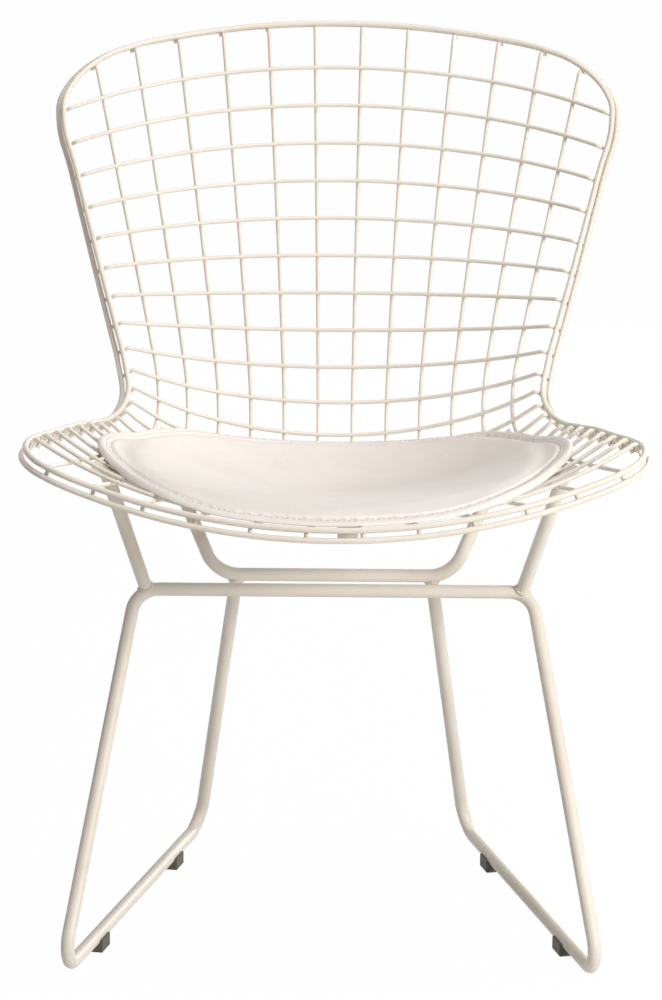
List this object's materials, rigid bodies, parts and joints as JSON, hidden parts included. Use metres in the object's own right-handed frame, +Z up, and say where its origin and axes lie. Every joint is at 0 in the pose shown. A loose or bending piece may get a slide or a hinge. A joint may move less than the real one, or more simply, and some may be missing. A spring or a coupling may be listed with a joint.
{
  "type": "wire mesh chair",
  "caption": "Side chair with a curved shell of welded crossing wires, double rim, bent rod sled base and a strapped-on seat pad.",
  "frame": {"origin": "on the floor, under the middle of the chair's box", "axes": "+Z up from the floor, +X to the right as seen from the front, -Y toward the front edge of the seat"},
  "size_m": [0.5364, 0.5914, 0.7898],
  "materials": {
    "mesh_wire": "smooth coating on round wire",
    "plate": "coated flat plate",
    "screw": "plain steel",
    "base_rod": "smooth coating on round rod",
    "glide_plastic": "moulded, slightly rough",
    "rim_wire": "smooth coating on round wire",
    "strap": "soft grained cover",
    "pad_cover": "soft grained cover",
    "stud": "polished cap"
  },
  "bodies": {
    "root": {"back_cross_wire_01": "mesh_wire", "back_cross_wire_02": "mesh_wire", "back_cross_wire_03": "mesh_wire", "back_cross_wire_04": "mesh_wire", "back_cross_wire_05": "mesh_wire", "back_cross_wire_06": "mesh_wire", "back_cross_wire_07": "mesh_wire", "back_cross_wire_08": "mesh_wire", "back_cross_wire_09": "mesh_wire", "back_cross_wire_10": "mesh_wire", "back_cross_wire_11": "mesh_wire", "clamp_plate_front_left": "plate", "clamp_plate_front_right": "plate", "clamp_plate_rear_left": "plate", "clamp_plate_rear_right": "plate", "clamp_screws": "screw", "front_post_left": "base_rod", "front_post_right": "base_rod", "glide_front_left": "glide_plastic", "glide_front_right": "glide_plastic", "glide_rear_left": "glide_plastic", "glide_rear_right": "glide_plastic", "inner_rim": "rim_wire", "left_lengthwise_wire_1": "mesh_wire", "left_lengthwise_wire_2": "mesh_wire", "left_lengthwise_wire_3": "mesh_wire", "left_lengthwise_wire_4": "mesh_wire", "left_lengthwise_wire_5": "mesh_wire", "left_lengthwise_wire_6": "mesh_wire", "outer_rim": "rim_wire", "pad_strap_front": "strap", "pad_strap_rear_left": "strap", "pad_strap_rear_right": "strap", "rear_yoke": "base_rod", "right_lengthwise_wire_1": "mesh_wire", "right_lengthwise_wire_2": "mesh_wire", "right_lengthwise_wire_3": "mesh_wire", "right_lengthwise_wire_4": "mesh_wire", "right_lengthwise_wire_5": "mesh_wire", "right_lengthwise_wire_6": "mesh_wire", "saddle_front_left": "plate", "saddle_front_right": "plate", "saddle_rear_left": "plate", "saddle_rear_right": "plate", "seat_cross_wire_01": "mesh_wire", "seat_cross_wire_02": "mesh_wire", "seat_cross_wire_03": "mesh_wire", "seat_cross_wire_04": "mesh_wire", "seat_cross_wire_05": "mesh_wire", "seat_cross_wire_06": "mesh_wire", "seat_cross_wire_07": "mesh_wire", "seat_cross_wire_08": "mesh_wire", "seat_cross_wire_09": "mesh_wire", "seat_cross_wire_10": "mesh_wire", "seat_cross_wire_11": "mesh_wire", "seat_pad": "pad_cover", "sled_frame": "base_rod", "strap_studs": "stud"}
  },
  "joints": []
}
